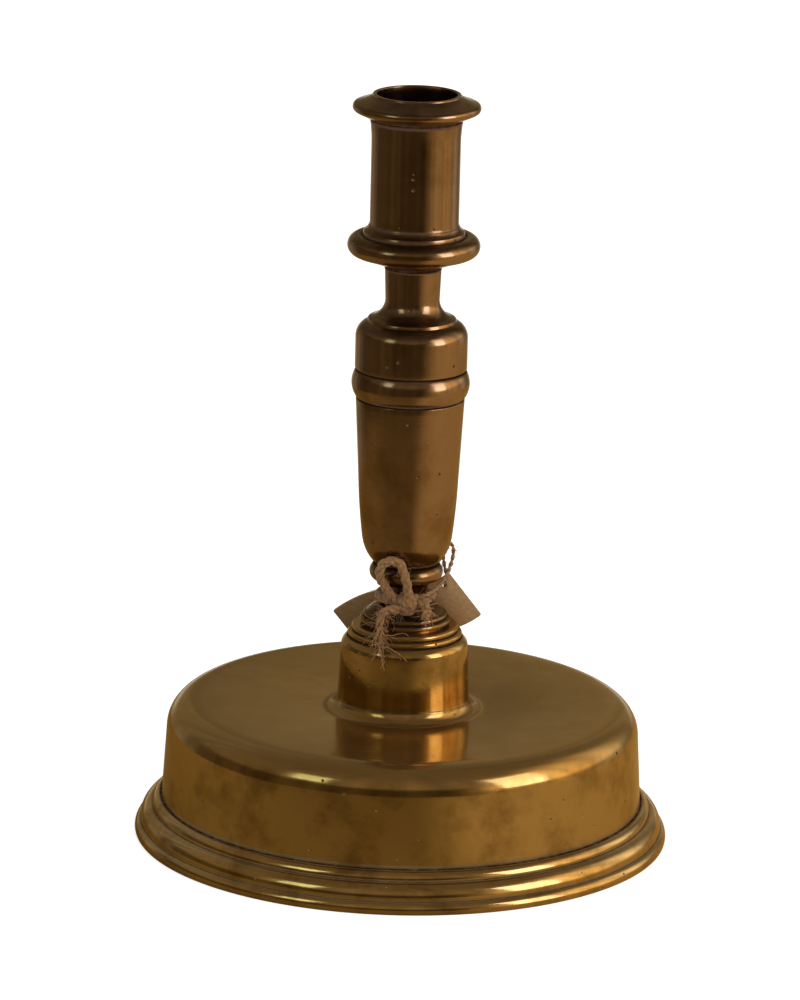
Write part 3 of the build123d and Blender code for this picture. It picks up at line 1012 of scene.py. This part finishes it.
class CANDLESTICK_OT_tag_card(bpy.types.Operator):
    """Cut the blank card, punch its hole and bend it."""

    bl_idname = "candlestick.tag_card"
    bl_label = "Tag card"

    def execute(self, context):
        tie = context.scene.candlestick_tie
        bend = 2 * math.atan(2 * HUMP_HEIGHT / HUMP_LENGTH)
        hump_radius = HUMP_LENGTH / 2 / math.sin(bend)
        dip_radius = DIP_LENGTH / 2 / math.sin(bend)
        length = 2 * bend * (hump_radius + dip_radius)
        bm = bmesh.new()
        middle = Matrix.Translation((length / 2, CARD_WIDTH / 2, 0))
        sheet = middle @ Matrix.Diagonal((length, CARD_WIDTH, 1, 1))
        bmesh.ops.create_grid(bm, x_segments=1, y_segments=1, size=0.5, matrix=sheet)
        bmesh.ops.bevel(
            bm,
            geom=bm.verts[:],
            offset=CORNER_RADIUS,
            offset_type="OFFSET",
            segments=CORNER_SEGMENTS,
            profile=ROUND_PROFILE,
            affect="VERTICES",
            material=-1,
        )
        bmesh.ops.delete(bm, geom=bm.faces[:], context="FACES_ONLY")
        punch = Matrix.Translation((length - HOLE_FROM_EDGES, HOLE_FROM_EDGES, 0))
        bmesh.ops.create_circle(bm, cap_ends=False, segments=HOLE_SEGMENTS, radius=HOLE_RADIUS, matrix=punch)
        bmesh.ops.triangle_fill(bm, use_beauty=True, use_dissolve=False, edges=bm.edges[:])
        for i in range(1, int(length / BEND_STEP) + 1):
            everything = bm.verts[:] + bm.edges[:] + bm.faces[:]
            bmesh.ops.bisect_plane(bm, geom=everything, plane_co=(i * BEND_STEP, 0, 0), plane_no=(1, 0, 0))
        bmesh.ops.recalc_face_normals(bm, faces=bm.faces[:])
        bmesh.ops.solidify(bm, geom=bm.faces[:], thickness=tie.card_thickness)
        for vert in bm.verts:
            vert.co = bend_card(vert.co, bend, hump_radius, dip_radius)
        bmesh.ops.recalc_face_normals(bm, faces=bm.faces[:])
        material = kraft_card("kraft_card", tie.card_colour, tie.card_edge)
        card = finished_object("tag_card_bent", bm, material)
        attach(card, "tie")
        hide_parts("tag_card")
        return {"FINISHED"}


CAMERA_PITCH = math.radians(15.147)
CAMERA_ROLL = math.radians(1.35)
FOCAL_PIXELS = 6306
LONG_SIDE_PIXELS = 1000
CENTRE_OFFSET_PIXELS = 7.8
SENSOR_WIDTH = 36
LIGHT_TARGET = Vector((0, 0, 0.1))
# Lamps: name, azimuth and elevation in degrees, distance, width and height in metres, radiance and colour.
SOFT_BOXES = (
    ("right_soft_box", 61, 22, 1.5, 0.65, 1.0, 2.6, "fffaf0"),
    ("left_soft_box", -47, 30, 1.5, 0.42, 0.5, 1.6, "e6ffdc"),
)
WHITE = (1.0, 1.0, 1.0, 1.0)
BLACK = (0.0, 0.0, 0.0, 1.0)


def soft_box(name, azimuth, elevation, distance, width, height, radiance, colour):
    """A rectangular lamp that faces the object; azimuth 0 is the camera's side, positive to the right."""
    lamp = bpy.data.lights.new(name, "AREA")
    lamp.shape = "RECTANGLE"
    lamp.size = width
    lamp.size_y = height
    lamp.energy = radiance * math.pi * width * height
    lamp.color = linear(colour)[:3]
    stand = bpy.data.objects.new(name, lamp)
    turn_z, rise = math.radians(azimuth), math.radians(elevation)
    away = Vector((math.sin(turn_z) * math.cos(rise), -math.cos(turn_z) * math.cos(rise), math.sin(rise)))
    stand.location = LIGHT_TARGET + away * distance
    stand.rotation_euler = away.to_track_quat("Z", "Y").to_euler()
    stand.visible_camera = False
    bpy.context.scene.collection.objects.link(stand)


# The mirrored room, along the axes of the direction of view: where each part of it begins and is full.
ROOM_ABOVE = (0.22, 0.42)
ROOM_RIGHT = (0.38, 0.85)
ROOM_LEFT = (-0.2, -0.9)
ROOM_BACK = (0.2, 0.9)
WINDOW_ACROSS = (0.5, 0.9)
WINDOW_UP = (0.0, 0.2)
BACK_TONE = (0.1, 0.7)
WHITE_BEHIND = (0.88, 1.0)
WHITE_LOW = (0.08, 0.0)
CEILING_SHADE = (0.6, 0.95, 1.0, 0.7)
TONE_ABOVE = 0.3
# Uprights of the room: bands round the horizon that are darker or lighter than the rest.
UPRIGHTS_PER_RADIAN = 4.5
UPRIGHT_SHADE = (0.35, 0.65, 0.75, 1.25)


def mirrored_room(tree, settings):
    """Tone and strength of the room that the metal mirrors, and how far it is white low behind the object.

    The room is bright on the right and dark by the camera.
    """
    direction = add_node(tree, "ShaderNodeTexCoord").outputs["Generated"]
    axis = add_node(tree, "ShaderNodeSeparateXYZ", {"Vector": direction}).outputs
    above = ranged(tree, axis["Z"], *ROOM_ABOVE)
    right = ranged(tree, axis["X"], *ROOM_RIGHT, 0.0, settings.room_right)
    left = ranged(tree, axis["X"], *ROOM_LEFT, 0.0, settings.room_left)
    back = ranged(tree, axis["Y"], *ROOM_BACK, 0.0, settings.room_back)
    walls = maths(tree, "MAXIMUM", maths(tree, "ADD", right, left), back)
    walls = maths(tree, "MAXIMUM", walls, maths(tree, "MULTIPLY", above, settings.room_wall))
    window = ranged(tree, axis["X"], *WINDOW_ACROSS)
    window = maths(tree, "MULTIPLY", window, ranged(tree, axis["Z"], *WINDOW_UP))
    walls = maths(tree, "ADD", walls, maths(tree, "MULTIPLY", window, settings.window_wall))
    uprights = banded(tree, maths(tree, "ARCTAN2", axis["X"], axis["Y"]), UPRIGHTS_PER_RADIAN, 2.0)
    room = maths(tree, "ADD", walls, settings.room_front)
    room = maths(tree, "MULTIPLY", room, ranged(tree, axis["Z"], *CEILING_SHADE))
    room = maths(tree, "MULTIPLY", room, ranged(tree, uprights, *UPRIGHT_SHADE))
    tone = mixed(tree, ranged(tree, axis["Y"], *BACK_TONE), settings.room_colour, settings.back_colour)
    tone = mixed(tree, maths(tree, "MULTIPLY", above, TONE_ABOVE), tone, settings.back_colour)
    low_behind = ranged(tree, axis["Y"], *WHITE_BEHIND)
    low_behind = maths(tree, "MULTIPLY", low_behind, ranged(tree, axis["Z"], *WHITE_LOW))
    return tone, room, low_behind


def studio_world(settings):
    """White behind the object, an even fill for matt pieces, and the room that the metal mirrors."""
    world = bpy.data.worlds.new("studio")
    world.use_nodes = True
    tree = world.node_tree
    tree.nodes.clear()
    ray = add_node(tree, "ShaderNodeLightPath").outputs
    tone, room, low_behind = mirrored_room(tree, settings)
    seen = maths(tree, "MAXIMUM", ray["Is Camera Ray"], ray["Is Transmission Ray"])
    white = maths(tree, "MAXIMUM", seen, maths(tree, "MULTIPLY", ray["Is Glossy Ray"], low_behind))
    dim, fill, backdrop = (
        add_node(tree, "ShaderNodeBackground", {"Color": colour, "Strength": strength}).outputs[0]
        for colour, strength in ((tone, room), (WHITE, settings.room_fill), (WHITE, 1.0))
    )
    lit = add_node(tree, "ShaderNodeMixShader", {0: ray["Is Diffuse Ray"], 1: dim, 2: fill}).outputs[0]
    whole = add_node(tree, "ShaderNodeMixShader", {0: white, 1: lit, 2: backdrop}).outputs[0]
    add_node(tree, "ShaderNodeOutputWorld", {"Surface": whole})
    bpy.context.scene.world = world


FLOOR_SEGMENTS = 96
# The mirrored floor: where its lighter side, painted light towards the right lamp, begins and is full, as
# the sine of the angle to the right. Then where its other parts begin and end, in shares of its radius, and
# what they give there.
SHEET_RIGHT = (0.08, 0.6)
SHEET_AHEAD = (-1.2, -0.4)
SHEET_AHEAD_SHARE = (0.4, 1.0)
SHEET_EDGE = (1.08, 0.92)
SHEET_LIGHT_EDGE = (2.0, 1.5)
# Painted shadow: where the mirrored floor darkens towards black in front, and how far.
SHEET_SHADED = (-0.6, 0.0)
SHEET_SHADE = (0.38, 0.0)


def mirrored_floor(tree, settings):
    """Tone of the warm floor that the metal mirrors, with a painted shadow in front and painted light on the
    right, and where it lies: near the foot, farther right.
    """
    place = add_node(tree, "ShaderNodeTexCoord").outputs["Object"]
    reach = add_node(tree, "ShaderNodeVectorMath", {0: place}, operation="LENGTH").outputs["Value"]
    axis = add_node(tree, "ShaderNodeSeparateXYZ", {"Vector": place}).outputs
    ahead, edge, light_edge, shaded = (
        [share * settings.sheet_radius for share in shares]
        for shares in (SHEET_AHEAD, SHEET_EDGE, SHEET_LIGHT_EDGE, SHEET_SHADED)
    )
    # Painted light: the mirrored floor is lighter towards the right lamp, less so far in front.
    lighter = ranged(tree, maths(tree, "DIVIDE", axis["X"], reach), *SHEET_RIGHT)
    lighter = maths(tree, "MULTIPLY", lighter, ranged(tree, axis["Y"], *ahead, *SHEET_AHEAD_SHARE))
    far = maths(tree, "MULTIPLY", lighter, ranged(tree, reach, *light_edge))
    near = maths(tree, "MAXIMUM", ranged(tree, reach, *edge), far)
    # Painted shadow on the mirrored floor in front.
    shade = ranged(tree, axis["Y"], *shaded, *SHEET_SHADE)
    tone = mixed(tree, shade, settings.sheet_colour, BLACK)
    return mixed(tree, lighter, tone, settings.sheet_light), near


def pale_floor(settings):
    """A pale matt floor, lifted to white for the camera; the metal mirrors a warm one in its place."""
    material, tree = new_material("pale_floor")
    ray = add_node(tree, "ShaderNodeLightPath").outputs
    tone, near = mirrored_floor(tree, settings)
    matt = add_node(tree, "ShaderNodeBsdfDiffuse", {"Color": settings.floor_colour}).outputs[0]
    glow = add_node(
        tree, "ShaderNodeEmission", {"Color": settings.floor_colour, "Strength": settings.floor_glow}
    ).outputs[0]
    lit = add_node(tree, "ShaderNodeAddShader", {0: matt, 1: glow}).outputs[0]
    seen = add_node(tree, "ShaderNodeMixShader", {0: ray["Is Camera Ray"], 1: matt, 2: lit}).outputs[0]
    clear = add_node(tree, "ShaderNodeBsdfTransparent").outputs[0]
    sheet = add_node(tree, "ShaderNodeBsdfDiffuse", {"Color": tone}).outputs[0]
    mirrored = add_node(tree, "ShaderNodeMixShader", {0: near, 1: clear, 2: sheet}).outputs[0]
    whole = add_node(tree, "ShaderNodeMixShader", {0: ray["Is Glossy Ray"], 1: seen, 2: mirrored}).outputs[0]
    add_node(tree, "ShaderNodeOutputMaterial", {"Surface": whole})
    bm = bmesh.new()
    bmesh.ops.create_circle(bm, cap_ends=True, segments=FLOOR_SEGMENTS, radius=settings.floor_radius)
    floor = finished_object("floor", bm, material)


class CANDLESTICK_OT_stage(bpy.types.Operator):
    """Lay the floor, light it and set the camera."""

    bl_idname = "candlestick.stage"
    bl_label = "Stage"

    def execute(self, context):
        stage = context.scene.candlestick_stage
        context.scene.view_settings.view_transform = "Standard"
        studio_world(stage)
        pale_floor(stage)
        for lamp in SOFT_BOXES:
            soft_box(*lamp)
        camera = bpy.data.cameras.new("camera")
        camera.sensor_width = SENSOR_WIDTH
        camera.lens = SENSOR_WIDTH * FOCAL_PIXELS / LONG_SIDE_PIXELS
        camera.shift_x = -CENTRE_OFFSET_PIXELS / LONG_SIDE_PIXELS
        stand = bpy.data.objects.new("camera", camera)
        look = Matrix.Rotation(math.pi / 2 - CAMERA_PITCH, 4, "X") @ Matrix.Rotation(CAMERA_ROLL, 4, "Z")
        stand.matrix_world = Matrix.Translation((0, -stage.camera_distance, stage.camera_height)) @ look
        context.scene.collection.objects.link(stand)
        context.scene.camera = stand
        return {"FINISHED"}


class CANDLESTICK_PT_pieces(bpy.types.Panel):
    """Pieces of the candlestick and its stage."""

    bl_idname = "CANDLESTICK_PT_pieces"
    bl_label = "Candlestick"
    bl_space_type = "VIEW_3D"
    bl_region_type = "UI"
    bl_category = "Candlestick"

    def draw(self, context):
        for operator in OPERATORS:
            self.layout.operator(operator.bl_idname)
        for settings in ("candlestick_brass", "candlestick_tie", "candlestick_stage"):
            group = getattr(context.scene, settings)
            for name in group.__annotations__:
                self.layout.prop(group, name)


OPERATORS = (
    CANDLESTICK_OT_drum_base,
    CANDLESTICK_OT_stem,
    CANDLESTICK_OT_twine,
    CANDLESTICK_OT_tag_string,
    CANDLESTICK_OT_tag_card,
    CANDLESTICK_OT_stage,
)
CLASSES = (BrassSettings, TieSettings, StageSettings, *OPERATORS, CANDLESTICK_PT_pieces)


def register():
    for item in CLASSES:
        bpy.utils.register_class(item)
    bpy.types.Scene.candlestick_brass = PointerProperty(type=BrassSettings)
    bpy.types.Scene.candlestick_tie = PointerProperty(type=TieSettings)
    bpy.types.Scene.candlestick_stage = PointerProperty(type=StageSettings)


def unregister():
    del bpy.types.Scene.candlestick_stage
    del bpy.types.Scene.candlestick_tie
    del bpy.types.Scene.candlestick_brass
    for item in reversed(CLASSES):
        bpy.utils.unregister_class(item)


def main():
    register()
    bpy.ops.candlestick.drum_base()
    bpy.ops.candlestick.stem()
    bpy.ops.candlestick.twine()
    bpy.ops.candlestick.tag_string()
    bpy.ops.candlestick.tag_card()
    bpy.ops.candlestick.stage()


if __name__ == "__main__":
    main()
